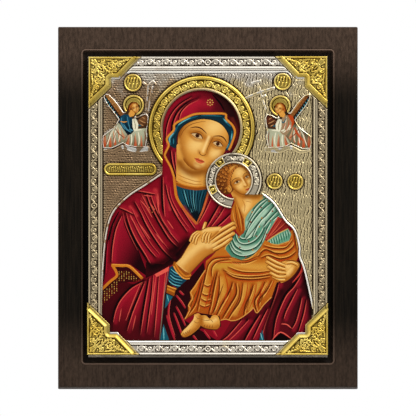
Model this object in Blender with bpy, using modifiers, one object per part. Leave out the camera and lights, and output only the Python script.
"""Icon panel: a routed wooden plaque that holds a picture board dressed in pressed, gilded metal.

Metres, +Z up. The panel faces -Y and its flat back lies in the plane Y = 0, against the wall.
The origin is the centre of that back. A depth is a distance from the wall towards the viewer.
"""

from math import acos, ceil, cos, pi, radians, sin

import bmesh
import bpy
from mathutils import Vector

# Driving dimensions of the plaque
BOARD_WIDTH = 0.270
BOARD_HEIGHT = 0.326
BOARD_THICKNESS = 0.022
BOARD_ARRIS = 0.0010
RECESS_DEPTH = 0.0055
LIP_HALF_WIDTH = 0.1135
LIP_HALF_HEIGHT = 0.1423
LIP_RADIUS = 0.0032
SLOT_LENGTH = 0.028
SLOT_HEIGHT = 0.011
SLOT_DEPTH = 0.009
SLOT_CENTRE_Z = 0.118

# Driving dimensions of the dressed picture board
COVER_WIDTH = 0.2156
COVER_HEIGHT = 0.2700
COVER_LIFT = 0.0010  # the dressed board sits this much above the middle of the recess
PANEL_THICKNESS = 0.0048
SHEET_THICKNESS = 0.0008
SKIRT_DEPTH = 0.0042
HEM_REACH = 0.0018
HEM_THICKNESS = 0.0006
CLEARANCE = 0.0003

# Levels, as depths from the wall
RECESS_FLOOR = BOARD_THICKNESS - RECESS_DEPTH
PANEL_BACK = RECESS_FLOOR + CLEARANCE
PANEL_FRONT = PANEL_BACK + PANEL_THICKNESS
SHEET_BACK = PANEL_FRONT + CLEARANCE
SHEET_FRONT = SHEET_BACK + SHEET_THICKNESS
ROOT = SHEET_FRONT - SHEET_THICKNESS / 2  # where raised work is rooted in the sheet
CUT_BACK = RECESS_FLOOR - 0.0015  # cutters reach past both faces of the sheet
CUT_FRONT = BOARD_THICKNESS + 0.008
SUNK = 0.00015  # how far a ridge's middle lies under the face that it stands on

# Border of the sheet: distances in from its edge, and heights above its face
BAND_CENTRE = 0.0052
BORDER_WIDTH = 0.0132
WAVE_SWING = 0.0015
VINE_THICKNESS = 0.0006
BERRY_RADIUS = 0.0014
BERRY_HEIGHT = 0.0008
MIDDLE_BOSS_RADIUS = 0.0044
MIDDLE_BOSS_HEIGHT = 0.0011
WAVES_ACROSS = 3
WAVES_UP = 5

# Halos, medallions and name plate
MOTHER_HALO = (-0.0057, 0.0705)
MOTHER_HALO_INNER = 0.0347
MOTHER_HALO_OUTER = 0.0482
CHILD_HALO = (0.0233, 0.0236)
CHILD_HALO_INNER = 0.0159
CHILD_HALO_OUTER = 0.0254
HALO_BEAD_RADIUS = 0.0029
ANGEL_HALOS = ((-0.0669, 0.0919, 1), (0.0652, 0.0914, -1))
ANGEL_HALO_RADIUS = 0.0097
MEDALLIONS = (
    (-0.0676, 0.1122, 0.0083),
    (0.0673, 0.1132, 0.0081),
    (0.0601, 0.0229, 0.0075),
    (0.0789, 0.0225, 0.0075),
)
NAME_PLATE = (-0.0699, 0.0339)
NAME_PLATE_LENGTH = 0.0478
NAME_PLATE_HEIGHT = 0.0113
RIM_WIDTH = 0.0018
RIM_HEIGHT = 0.0012
ANGEL_RIM_WIDTH = 0.0010
ANGEL_RIM_HEIGHT = 0.0007

# Corner mounts: the place of each outer corner, then distances in from it
MOUNT_CORNERS = {
    "top_left": (-0.1070, 0.1352),
    "top_right": (0.1077, 0.1362),
    "bottom_left": (-0.1089, -0.1341),
    "bottom_right": (0.1083, -0.1343),
}
MOUNT_LEG = 0.0472
MOUNT_LOBE = 0.0204
MOUNT_LOBE_END = 0.0275
MOUNT_PLATE = 0.0010
MOUNT_RIM_HEIGHT = 0.0013
BEAD_CREST = 0.0009
BEAD_WIDTH = 0.0019
BEVEL_CREST = 0.0046
BEVEL_WIDTH = 0.0053
SEAT_SINK = 0.0001

for stale in list(bpy.data.objects):
    bpy.data.objects.remove(stale, do_unlink=True)


def collection(name):
    found = bpy.data.collections.new(name)
    bpy.context.scene.collection.children.link(found)
    return found


PARTS = collection("icon_panel")
GUIDES = collection("guides")
cuts = []


def material(name, colour, roughness, metallic):
    made = bpy.data.materials.new(name)
    made.use_nodes = True
    shader = made.node_tree.nodes["Principled BSDF"]
    shader.inputs["Base Color"].default_value = (*colour, 1)
    shader.inputs["Roughness"].default_value = roughness
    shader.inputs["Metallic"].default_value = metallic
    return made


WENGE = material("wenge", (0.045, 0.027, 0.019), 0.55, 0.0)
PAINT = material("picture", (0.28, 0.02, 0.03), 0.25, 0.0)
SILVER = material("silver_plate", (0.62, 0.58, 0.52), 0.28, 1.0)
GILT = material("gilt_plate", (0.83, 0.62, 0.16), 0.25, 1.0)


# Meshes


def add(name, mesh, group=GUIDES, finish=None):
    """A new object for a mesh; one outside the parts collection is a hidden guide."""
    made = bpy.data.objects.new(name, mesh)
    group.objects.link(made)
    if finish:
        mesh.materials.clear()
        mesh.materials.append(finish)
    if group is not PARTS:
        made.hide_render = True
        made.display_type = "WIRE"
    return made


def as_mesh(holder, group=GUIDES, finish=None):
    """A curve or modified object made plain mesh, with its caps welded and its faces turned out."""
    bpy.context.scene.collection.objects.link(holder)
    bpy.context.view_layer.update()
    graph = bpy.context.evaluated_depsgraph_get()
    mesh = bpy.data.meshes.new_from_object(holder.evaluated_get(graph))
    mesh.transform(holder.matrix_world)
    shell = bmesh.new()
    shell.from_mesh(mesh)
    bmesh.ops.remove_doubles(shell, verts=shell.verts, dist=0.00001)
    bmesh.ops.recalc_face_normals(shell, faces=shell.faces)
    shell.to_mesh(mesh)
    shell.free()
    name = holder.name
    bpy.data.objects.remove(holder)
    return add(name, mesh, group, finish)


def mesh_of(name, loops, closed_path, group=GUIDES, finish=None):
    """Skin over a row of equal loops of points: a ring when closed_path, else capped at both ends."""
    shell = bmesh.new()
    rings = [[shell.verts.new(point) for point in loop] for loop in loops]
    following = rings[1:] + rings[:1] if closed_path else rings[1:]
    for near, far in zip(rings, following):
        count = len(near)
        for index in range(count):
            after = (index + 1) % count
            shell.faces.new((near[index], near[after], far[after], far[index]))
    if not closed_path:
        shell.faces.new(rings[0])
        shell.faces.new(rings[-1])
    bmesh.ops.recalc_face_normals(shell, faces=shell.faces)
    mesh = bpy.data.meshes.new(name)
    shell.to_mesh(mesh)
    shell.free()
    return add(name, mesh, group, finish)


def block(name, width, height, back, front, group=GUIDES, finish=None, centre=(0, 0)):
    """A box, given its size across and up, and its depths from the wall."""
    shell = bmesh.new()
    bmesh.ops.create_cube(shell, size=1)
    size = Vector((width, front - back, height))
    place = Vector((centre[0], -(back + front) / 2, centre[1]))
    bmesh.ops.scale(shell, vec=size, verts=shell.verts)
    bmesh.ops.translate(shell, vec=place, verts=shell.verts)
    mesh = bpy.data.meshes.new(name)
    shell.to_mesh(mesh)
    shell.free()
    return add(name, mesh, group, finish)


def flat_curve(name, outline):
    curve = bpy.data.curves.new(name, "CURVE")
    curve.dimensions = "2D"
    curve.fill_mode = "BOTH"
    spline = curve.splines.new("POLY")
    spline.points.add(len(outline) - 1)
    for point, (x, z) in zip(spline.points, outline):
        point.co = (x, z, 0, 1)
    spline.use_cyclic_u = True
    return curve


def plate(name, outline, back, front, group=GUIDES, finish=None):
    """A flat outline of (x, z) points with a thickness."""
    curve = flat_curve(name, outline)
    curve.extrude = (front - back) / 2
    holder = bpy.data.objects.new(name, curve)
    holder.rotation_euler.x = pi / 2
    holder.location.y = -(back + front) / 2
    return as_mesh(holder, group, finish)


def ridge(name, route, face, radius, root, group=GUIDES):
    """A four-sided ridge along (x, z) points of a face, cut off flat at its root under that face."""
    curve = bpy.data.curves.new(name, "CURVE")
    curve.dimensions = "3D"
    curve.bevel_depth = radius
    curve.bevel_resolution = 0
    curve.use_fill_caps = True
    spline = curve.splines.new("POLY")
    spline.points.add(len(route) - 1)
    for point, (x, z) in zip(spline.points, route):
        point.co = (x, SUNK - face, z, 1)
    made = as_mesh(bpy.data.objects.new(name, curve), group)
    for vertex in made.data.vertices:
        vertex.co.y = min(vertex.co.y, -root)
    return made


def turned(name, centre, profile, steps, group=GUIDES):
    """A profile of (radius, depth) points turned round an axis square to the panel."""
    mesh = bpy.data.meshes.new(name)
    shell = bmesh.new()
    points = [shell.verts.new((radius, 0, depth)) for radius, depth in profile]
    closing = [] if profile[0][0] == 0 else [(points[-1], points[0])]
    for pair in list(zip(points, points[1:])) + closing:
        shell.edges.new(pair)
    shell.to_mesh(mesh)
    shell.free()
    holder = bpy.data.objects.new(name, mesh)
    holder.rotation_euler.x = pi / 2
    holder.location = (centre[0], 0, centre[1])
    screw = holder.modifiers.new("turn", "SCREW")
    screw.axis = "Z"
    screw.steps = steps
    screw.render_steps = steps
    screw.use_merge_vertices = True
    screw.merge_threshold = 0.00002
    return as_mesh(holder, group)


def boss(name, centre, radius, height, sides, group=GUIDES):
    """A low bead on the sheet: a cone with its tip cut off."""
    top = SHEET_FRONT + height
    profile = [(0, ROOT), (radius * 1.15, ROOT), (radius * 0.45, top), (0, top)]
    return turned(name, centre, profile, sides, group)


def combine(target, label, operation, operand):
    """Notes a Boolean with one object, or with every object of a collection, for the end."""
    cuts.append((target, label, operation, operand))


def carry_out(target, label, operation, operand):
    """The exact Boolean itself. They wait for the last shape, which would have them all redone."""
    modifier = target.modifiers.new(label, "BOOLEAN")
    modifier.operation = operation
    modifier.solver = "EXACT"
    if isinstance(operand, bpy.types.Collection):
        modifier.operand_type = "COLLECTION"
        modifier.collection = operand
    else:
        modifier.object = operand


# Outlines


def arc(centre, radius, start, end, step=7.5):
    """Points on a circle, angles in degrees, both ends included."""
    count = max(2, ceil(abs(end - start) / step) + 1)
    angles = [radians(start + (end - start) * index / (count - 1)) for index in range(count)]
    return [(centre[0] + radius * cos(turn), centre[1] + radius * sin(turn)) for turn in angles]


def smooth(points, parts):
    """An open run through the points, each stretch divided so that it bends softly."""
    run = []
    last = len(points) - 1
    for index in range(last):
        before = Vector(points[max(index - 1, 0)])
        start = Vector(points[index])
        end = Vector(points[index + 1])
        after = Vector(points[min(index + 2, last)])
        for part in range(parts):
            t = part / parts
            leave = (end - before) / 2
            reach = (after - start) / 2
            point = (
                start * (2 * t**3 - 3 * t**2 + 1)
                + leave * (t**3 - 2 * t**2 + t)
                + end * (3 * t**2 - 2 * t**3)
                + reach * (t**3 - t**2)
            )
            run.append((point.x, point.y))
    return run + [tuple(points[-1])]


def area(outline):
    pairs = zip(outline, outline[1:] + outline[:1])
    return sum(x0 * z1 - x1 * z0 for (x0, z0), (x1, z1) in pairs) / 2


def grown(outline, distance):
    """The outline moved outwards by a distance, or inwards when it is negative, with square mitres."""
    side = 1 if area(outline) > 0 else -1
    moved = []
    for before, here, after in zip(outline[-1:] + outline, outline, outline[1:] + outline[:1]):
        into = (Vector(here) - Vector(before)).normalized()
        out = (Vector(after) - Vector(here)).normalized()
        normal = Vector((into.y + out.y, -into.x - out.x)).normalized() * side
        half = acos(max(-1.0, min(1.0, into.dot(out)))) / 2
        point = Vector(here) + normal * (distance / max(cos(half), 0.35))
        moved.append((point.x, point.y))
    return moved


def rounded_box(half_width, half_height, radius, steps=4):
    """Four arcs, anticlockwise from the right."""
    points = []
    for quarter, (across, up) in enumerate(((1, 1), (-1, 1), (-1, -1), (1, -1))):
        centre = (across * (half_width - radius), up * (half_height - radius))
        start = quarter * 90
        points += arc(centre, radius, start, start + 90, 90 / steps)
    return points


# The figures' silhouette, with the left side running up and the right side running down,
# both ending above the foot of the picture
LEFT_SIDE = (
    (-0.0955, -0.0950),
    (-0.0942, -0.0600),
    (-0.0910, -0.0260),
    (-0.0850, -0.0060),
    (-0.0720, 0.0083),
    (-0.0560, 0.0190),
    (-0.0412, 0.0291),
)
RIGHT_SIDE = (
    (0.0486, 0.0113),
    (0.0590, 0.0025),
    (0.0690, -0.0129),
    (0.0773, -0.0216),
    (0.0816, -0.0360),
    (0.0818, -0.0450),
    (0.0860, -0.0565),
    (0.0904, -0.0754),
    (0.0938, -0.0920),
)
FOOT_Z = COVER_LIFT - COVER_HEIGHT / 2 + BORDER_WIDTH
CHILD_HALO_MIDDLE = (CHILD_HALO_INNER + CHILD_HALO_OUTER) / 2

# An angel facing +X, about the centre of its halo: wing, head, hands, robe
ANGEL = (
    (-0.0261, 0.0099),
    (-0.0223, 0.0091),
    (-0.0185, 0.0053),
    (-0.0148, 0.0008),
    (-0.0117, -0.0038),
    (-0.0093, -0.0072),
    (-0.0068, -0.0066),
    (-0.0057, -0.0040),
    (-0.0048, 0.0004),
    (-0.0020, 0.0031),
    (0.0026, 0.0029),
    (0.0058, -0.0006),
    (0.0052, -0.0049),
    (0.0022, -0.0084),
    (0.0006, -0.0112),
    (0.0038, -0.0113),
    (0.0076, -0.0091),
    (0.0114, -0.0082),
    (0.0128, -0.0110),
    (0.0123, -0.0167),
    (0.0112, -0.0221),
    (0.0117, -0.0297),
    (0.0102, -0.0373),
    (0.0019, -0.0373),
    (-0.0057, -0.0359),
    (-0.0098, -0.0335),
    (-0.0140, -0.0357),
    (-0.0201, -0.0384),
    (-0.0268, -0.0382),
    (-0.0276, -0.0335),
    (-0.0272, -0.0280),
    (-0.0231, -0.0247),
    (-0.0182, -0.0211),
    (-0.0151, -0.0171),
    (-0.0128, -0.0129),
    (-0.0178, -0.0061),
    (-0.0216, -0.0015),
    (-0.0246, 0.0030),
    (-0.0263, 0.0072),
)


def figures_outline():
    """The opening over mother and child; its edge on the child's right lies under the small halo."""
    outline = [(LEFT_SIDE[0][0], FOOT_Z)]
    outline += smooth(LEFT_SIDE, 2)
    outline += arc(MOTHER_HALO, MOTHER_HALO_INNER, 180, -44)
    outline += arc(CHILD_HALO, CHILD_HALO_MIDDLE, 97, -37)
    outline += smooth(RIGHT_SIDE, 2)
    return outline + [(RIGHT_SIDE[-1][0], FOOT_Z)]


def angel_outline(x, z, facing):
    return [(x + facing * across, z + up) for across, up in ANGEL]


def mount_outline(corner):
    """One corner mount: two lobes that meet at a right angle."""
    legs = (
        (0, 0),
        (MOUNT_LEG, 0),
        (MOUNT_LOBE_END, MOUNT_LOBE),
        (MOUNT_LOBE, MOUNT_LOBE),
        (MOUNT_LOBE, MOUNT_LOBE_END),
        (0, MOUNT_LEG),
    )
    return [mount_place(corner, inward_x, inward_z) for inward_x, inward_z in legs]


def mount_place(corner, inward_x, inward_z):
    """A point given by its distances in from a mount's outer corner."""
    x, z = corner
    return (x - (inward_x if x > 0 else -inward_x), z - (inward_z if z > 0 else -inward_z))


def drawn_in(outline, widths):
    """The outline with each side moved in by its own width, the first side being the first two points'."""
    side = 1 if area(outline) > 0 else -1
    lines = []
    for start, end, width in zip(outline, outline[1:] + outline[:1], widths):
        along = (Vector(end) - Vector(start)).normalized()
        lines.append((Vector(start) + Vector((-along.y, along.x)) * side * width, along))
    moved = []
    for (first, along), (second, after) in zip(lines[-1:] + lines[:-1], lines):
        gap = second - first
        share = (gap.x * after.y - gap.y * after.x) / (along.x * after.y - along.y * after.x)
        point = first + along * share
        moved.append((point.x, point.y))
    return moved


# The wooden plaque


def recess_cutter():
    """Everything inside the lip: a quirk, a bead, a cove and the flat floor."""
    steps = [(0.0012, -0.002), (0.0012, 0.0), (0.0008, 0.0006), (0.0005, 0.0002), (0.0, 0.0)]
    steps += [(-0.0005, 0.0003), (-0.0008, 0.0010), (-0.0008, 0.0022)]
    cove = RECESS_DEPTH - 0.0022
    for turn in (22.5, 45, 67.5, 90):
        bend = radians(turn)
        steps.append((-0.0008 - cove * (1 - cos(bend)), 0.0022 + cove * sin(bend)))
    loops = []
    for offset, sunk in steps:
        radius = max(LIP_RADIUS + offset, 0.0008)
        outline = rounded_box(LIP_HALF_WIDTH + offset, LIP_HALF_HEIGHT + offset, radius)
        loops.append([(x, sunk - BOARD_THICKNESS, z) for x, z in outline])
    return mesh_of("recess", loops, False)


def nail_slot_cutter():
    """A round-ended slot in the back, which the nail or hook on the wall goes into."""
    half = SLOT_HEIGHT / 2
    middle = SLOT_LENGTH / 2 - half
    outline = arc((middle, SLOT_CENTRE_Z), half, -90, 90, 22.5)
    outline += arc((-middle, SLOT_CENTRE_Z), half, 90, 270, 22.5)
    return plate("nail_slot", outline, -0.002, SLOT_DEPTH)


def wooden_plaque():
    board = block("wooden_plaque", BOARD_WIDTH, BOARD_HEIGHT, 0, BOARD_THICKNESS, PARTS, WENGE)
    arris = board.modifiers.new("arris", "BEVEL")
    arris.width = BOARD_ARRIS
    arris.segments = 2
    combine(board, "recess", "DIFFERENCE", recess_cutter())
    combine(board, "nail slot", "DIFFERENCE", nail_slot_cutter())
    return board


def painted_panel():
    margin = 2 * (SHEET_THICKNESS + CLEARANCE)
    width = COVER_WIDTH - margin
    height = COVER_HEIGHT - margin
    return block("painted_panel", width, height, PANEL_BACK, PANEL_FRONT, PARTS, PAINT, (0, COVER_LIFT))


# The pressed sheet


def swept_border(name, profile, group):
    """A moulding round the sheet, from a closed profile of (inset from the edge, height)."""
    loops = []
    for across, up in ((1, 1), (-1, 1), (-1, -1), (1, -1)):
        loop = []
        for inset, height in profile:
            x = across * (COVER_WIDTH / 2 - inset)
            z = COVER_LIFT + up * (COVER_HEIGHT / 2 - inset)
            loop.append((x, -(SHEET_FRONT + height), z))
        loops.append(loop)
    return mesh_of(name, loops, True, group)


def border_point(side, along, inset):
    """A point of the border on one of its four sides, along from the side's middle."""
    reach = (COVER_HEIGHT if side in ("top", "bottom") else COVER_WIDTH) / 2 - inset
    places = {
        "top": (along, COVER_LIFT + reach),
        "bottom": (along, COVER_LIFT - reach),
        "right": (reach, COVER_LIFT + along),
        "left": (-reach, COVER_LIFT + along),
    }
    return places[side]


def border_vine(side, direction, waves, group):
    """Half a side of the running scroll: a wavy stem with a berry in every bend."""
    half = (COVER_WIDTH if side in ("top", "bottom") else COVER_HEIGHT) / 2
    start = MIDDLE_BOSS_RADIUS + 0.0008
    length = half - MOUNT_LEG - start - 0.001
    stem = []
    for index in range(waves * 6 + 1):
        along = start + length * index / (waves * 6)
        swing = WAVE_SWING * sin(2 * pi * index / 6)
        stem.append(border_point(side, direction * along, BAND_CENTRE + swing))
    name = f"vine_{side}_{'far' if direction > 0 else 'near'}"
    ridge(name, stem, SHEET_FRONT, VINE_THICKNESS, ROOT, group)
    for bend in range(waves * 2):
        along = start + length * (bend + 0.5) / (waves * 2)
        inward = BAND_CENTRE + (-1 if bend % 2 == 0 else 1) * WAVE_SWING * 0.75
        centre = border_point(side, direction * along, inward)
        boss(f"{name}_berry_{bend}", centre, BERRY_RADIUS, BERRY_HEIGHT, 5, group)


def border_relief(group):
    rim = [(0.0, -0.0004), (0.0, 0.0006), (0.0004, 0.0009), (0.0013, 0.0009), (0.0019, -0.0004)]
    swept_border("outer_rim", rim, group)
    moulding = [(0.0088, -0.0004), (0.0092, 0.0006), (0.0106, 0.0009), (0.0112, 0.0015)]
    moulding += [(0.0120, 0.0015), (BORDER_WIDTH, -0.0004)]
    swept_border("inner_moulding", moulding, group)
    for side in ("top", "bottom", "left", "right"):
        waves = WAVES_ACROSS if side in ("top", "bottom") else WAVES_UP
        border_vine(side, 1, waves, group)
        border_vine(side, -1, waves, group)
        middle = border_point(side, 0, BAND_CENTRE)
        dished(f"middle_boss_{side}", middle, MIDDLE_BOSS_RADIUS * 0.8, MIDDLE_BOSS_HEIGHT, 12, group)


def dished(name, centre, radius, height, sides, group):
    """A round medallion: a raised ring about a sunk field."""
    ring = radius * 0.22
    profile = [(0, ROOT), (radius, ROOT), (radius, SHEET_FRONT + height * 0.4)]
    profile += [(radius - ring * 0.4, SHEET_FRONT + height), (radius - ring, SHEET_FRONT + height)]
    profile += [(radius - ring * 1.4, SHEET_FRONT + height * 0.45), (0, SHEET_FRONT + height * 0.45)]
    return turned(name, centre, profile, sides, group)


def strokes(name, centre, spacing, count, size, top, group):
    """A row of short upright strokes where the real piece has an inscription."""
    for index in range(count):
        x = centre[0] + spacing * (index - (count - 1) / 2)
        tall = size * (1 if index % 2 == 0 else 0.7)
        block(f"{name}_{index}", spacing * 0.4, tall, ROOT, top, group, centre=(x, centre[1]))


def medallions(group):
    for index, (x, z, radius) in enumerate(MEDALLIONS):
        dished(f"medallion_{index}", (x, z), radius, 0.0018, 16, group)
        top = SHEET_FRONT + 0.0014
        strokes(f"medallion_stroke_{index}", (x, z), radius * 0.34, 3, radius * 0.7, top, group)


def name_plate(group):
    """A long plate with pointed-round ends, a rim and a row of strokes."""
    half = NAME_PLATE_HEIGHT / 2
    middle = NAME_PLATE_LENGTH / 2 - half
    x, z = NAME_PLATE
    outline = arc((x + middle, z), half, -90, 90, 22.5) + arc((x - middle, z), half, 90, 270, 22.5)
    plate("name_plate_base", outline, ROOT, SHEET_FRONT + 0.0007, group)
    outer = grown(outline, 0.0002)
    rim = []
    for (ox, oz), (ix, iz) in zip(outer, grown(outline, -0.0015)):
        high = SHEET_FRONT + 0.0014
        rim.append([(ox, -ROOT, oz), (ox, -high + 0.0004, oz), (ix, -high, iz), (ix, -ROOT, iz)])
    mesh_of("name_plate_rim", rim, True, group)
    strokes("name_stroke", NAME_PLATE, 0.0031, 10, 0.0052, SHEET_FRONT + 0.0012, group)


def mother_halo(group):
    """A broad ring with a smooth outer roll, a sunk field of beads and an inner rim."""
    inner = MOTHER_HALO_INNER - 0.002
    outer = MOTHER_HALO_OUTER
    face = SHEET_FRONT
    profile = [(inner, ROOT), (outer, ROOT), (outer, face + 0.0006), (outer - 0.0010, face + 0.0020)]
    profile += [(outer - 0.0026, face + 0.0022), (outer - 0.0036, face + 0.0010)]
    profile += [(MOTHER_HALO_INNER + 0.0026, face + 0.0010), (MOTHER_HALO_INNER + 0.0020, face + 0.0018)]
    profile += [(inner, face + 0.0018)]
    turned("mother_halo", MOTHER_HALO, profile, 44, group)
    field = (outer - 0.0036 + MOTHER_HALO_INNER + 0.0026) / 2
    for index in range(25):
        centre = arc(MOTHER_HALO, field, -20 + index * 10, -19 + index * 10)[0]
        boss(f"halo_bead_{index}", centre, HALO_BEAD_RADIUS, 0.0020, 6, group)


def child_halo():
    """A narrow ring, open over the child's neck and shoulder, with four patches to be gilded."""
    face = SHEET_FRONT
    inner = CHILD_HALO_INNER
    outer = CHILD_HALO_OUTER
    back = SHEET_BACK + CLEARANCE / 2
    profile = [(inner, back), (outer, back), (outer, face + 0.0012)]
    profile += [(outer - 0.0005, face + 0.0019), (outer - 0.0014, face + 0.0019)]
    profile += [(outer - 0.0018, face + 0.0010), (inner + 0.0016, face + 0.0010)]
    profile += [(inner + 0.0012, face + 0.0017), (inner, face + 0.0017)]
    ring = turned("child_halo", CHILD_HALO, profile, 32)
    x, z = CHILD_HALO
    gap = [(0.0016, -0.0120), (-0.0040, -0.0290), (0.0300, -0.0290), (0.0300, -0.0123), (0.0060, -0.0123)]
    outline = [(x + across, z + up) for across, up in gap]
    opening = plate("neck_opening", outline, CUT_BACK, CUT_FRONT)
    combine(ring, "neck", "DIFFERENCE", opening)
    patches = collection("halo_patches")
    middle = (inner + outer) / 2 - 0.0001
    for index, turn in enumerate((54, 127, 203)):
        half = 9
        sector = arc(CHILD_HALO, middle + 0.0029, turn - half, turn + half)
        sector += arc(CHILD_HALO, middle - 0.0028, turn + half, turn - half)
        plate(f"halo_patch_{index}", sector, ROOT, face + 0.0016, patches)
    combine(ring, "patches", "UNION", patches)
    return ring


def angel_halos(group):
    for index, (x, z, _) in enumerate(ANGEL_HALOS):
        face = SHEET_FRONT
        outer = ANGEL_HALO_RADIUS
        profile = [(0, ROOT), (outer, ROOT), (outer, face + 0.0008), (outer - 0.0008, face + 0.0016)]
        profile += [(outer - 0.0018, face + 0.0016), (outer - 0.0026, face + 0.0009), (0, face + 0.0009)]
        turned(f"angel_halo_{index}", (x, z), profile, 20, group)


def staffs(group):
    """The embossed staffs by the left angel and the three-barred pole by the right one."""
    for index, route in enumerate((
        [(-0.0543, 0.1096), (-0.0546, 0.1013), (-0.0553, 0.0943), (-0.0559, 0.0880)],
        [(-0.0498, 0.1091), (-0.0510, 0.1025), (-0.0527, 0.0943), (-0.0537, 0.0880)],
    )):
        ridge(f"staff_{index}", route, SHEET_FRONT, 0.0009, ROOT, group)
    for index, centre in enumerate(((-0.0548, 0.1108), (-0.0494, 0.1126))):
        boss(f"staff_head_{index}", centre, 0.0021, 0.0013, 6, group)
    pole = [(0.0449, 0.1112), (0.0470, 0.1057), (0.0482, 0.1002), (0.0494, 0.0957), (0.0520, 0.0885)]
    bars = ([(0.0399, 0.1118), (0.0474, 0.1139)], [(0.0343, 0.0984), (0.0458, 0.1030), (0.0597, 0.1075)])
    bars += ([(0.0463, 0.0968), (0.0519, 0.1008)],)
    for index, route in enumerate((pole, *bars)):
        ridge(f"pole_{index}", route, SHEET_FRONT, 0.0010 + 0.0001 * index, ROOT, group)


def silver_cover():
    foot = SHEET_FRONT - SKIRT_DEPTH
    centre = (0, COVER_LIFT)
    cover = block("silver_cover", COVER_WIDTH, COVER_HEIGHT, foot, SHEET_FRONT, PARTS, SILVER, centre)
    inside = 2 * SHEET_THICKNESS
    tray = block("board_space", COVER_WIDTH - inside, COVER_HEIGHT - inside, CUT_BACK, SHEET_BACK, centre=centre)
    hem_depth = SHEET_THICKNESS / 2 + HEM_REACH
    hem_z = COVER_LIFT - COVER_HEIGHT / 2 + SHEET_THICKNESS / 2 - hem_depth / 2
    hem_width = COVER_WIDTH - 2 * SUNK
    hem_back = foot + SUNK
    hem = block("hem", hem_width, hem_depth, hem_back, hem_back + HEM_THICKNESS, centre=(0, hem_z))
    combine(cover, "hem", "UNION", hem)
    combine(cover, "board space", "DIFFERENCE", tray)

    raised = collection("raised_work")
    border_relief(raised)
    medallions(raised)
    name_plate(raised)
    mother_halo(raised)
    angel_halos(raised)
    staffs(raised)
    figures = figures_outline()
    plate("figures_rim", grown(figures, RIM_WIDTH), ROOT, SHEET_FRONT + RIM_HEIGHT, raised)
    for index, (x, z, facing) in enumerate(ANGEL_HALOS):
        rim = grown(angel_outline(x, z, facing), ANGEL_RIM_WIDTH)
        plate(f"angel_rim_{index}", rim, ROOT, SHEET_FRONT + ANGEL_RIM_HEIGHT, raised)
    combine(cover, "raised work", "UNION", raised)

    openings = collection("openings")
    plate("figures_opening", figures, CUT_BACK, CUT_FRONT, openings)
    for index, (x, z, facing) in enumerate(ANGEL_HALOS):
        outline = angel_outline(x, z, facing)
        plate(f"angel_opening_{index}", outline, CUT_BACK, CUT_FRONT, openings)
    for name, corner in MOUNT_CORNERS.items():
        seat = grown(mount_outline(corner), CLEARANCE)
        plate(f"seat_{name}", seat, SHEET_FRONT - SEAT_SINK, CUT_FRONT, openings)
    combine(cover, "openings", "DIFFERENCE", openings)
    combine(cover, "child halo", "UNION", child_halo())
    return cover


# The corner mounts


def spiral(centre, radius, start, turns, spin):
    """A scroll that winds in to a third of its radius, as (inward x, inward z) points."""
    count = int(turns * 8) + 1
    route = []
    for index in range(count):
        share = index / (count - 1)
        turn = radians(start) + spin * 2 * pi * turns * share
        reach = radius * (1 - 0.68 * share)
        route.append((centre[0] + reach * cos(turn), centre[1] + reach * sin(turn)))
    return route


def swapped(route):
    return [(second, first) for first, second in route]


def mount_scrolls():
    """Leafy scrolls of one mount, in inward distances; the second lobe mirrors the first."""
    lobe = [
        spiral((0.0208, 0.0086), 0.0047, 200, 1.25, 1),
        [(0.0262, 0.0068), (0.0290, 0.0050), (0.0330, 0.0042)],
        [(0.0090, 0.0090), (0.0118, 0.0056), (0.0148, 0.0046), (0.0178, 0.0040)],
    ]
    middle = [
        [(0.0040, 0.0040), (0.0080, 0.0080), (0.0124, 0.0124)],
        [(0.0042, 0.0100), (0.0070, 0.0070), (0.0100, 0.0042)],
    ]
    return middle + lobe + [swapped(route) for route in lobe]


def corner_mount(place, corner):
    """A pressed corner piece: a plate, a bead on its outer sides, a broad bevel on its inner ones, scrolls."""
    name = f"corner_mount_{place}"
    back = SHEET_FRONT - SEAT_SINK + CLEARANCE
    field = back + MOUNT_PLATE
    root = field - MOUNT_PLATE / 2
    top = field + MOUNT_RIM_HEIGHT
    outline = mount_outline(corner)
    mount = plate(name, outline, back, field, PARTS, GILT)

    work = collection(f"{name}_work")
    outer = drawn_in(outline, [SUNK] * len(outline))
    crest = drawn_in(outline, [BEAD_CREST] + [BEVEL_CREST] * 4 + [BEAD_CREST])
    inner = drawn_in(outline, [BEAD_WIDTH] + [BEVEL_WIDTH] * 4 + [BEAD_WIDTH])
    rim = []
    for (ox, oz), (mx, mz), (ix, iz) in zip(outer, crest, inner):
        loop = [(ox, -root, oz), (ox, -field - SUNK, oz), (mx, -top, mz)]
        rim.append(loop + [(ix, -field - SUNK, iz), (ix, -root, iz)])
    mesh_of(f"{name}_rim", rim, True, work)
    for index, route in enumerate(mount_scrolls()):
        placed = [mount_place(corner, inward_x, inward_z) for inward_x, inward_z in route]
        ridge(f"{name}_scroll_{index}", placed, field, 0.0010, root, work)
    combine(mount, "work", "UNION", work)
    return mount


wooden_plaque()
painted_panel()
silver_cover()
for place, corner in MOUNT_CORNERS.items():
    corner_mount(place, corner)
for cut in cuts:
    carry_out(*cut)
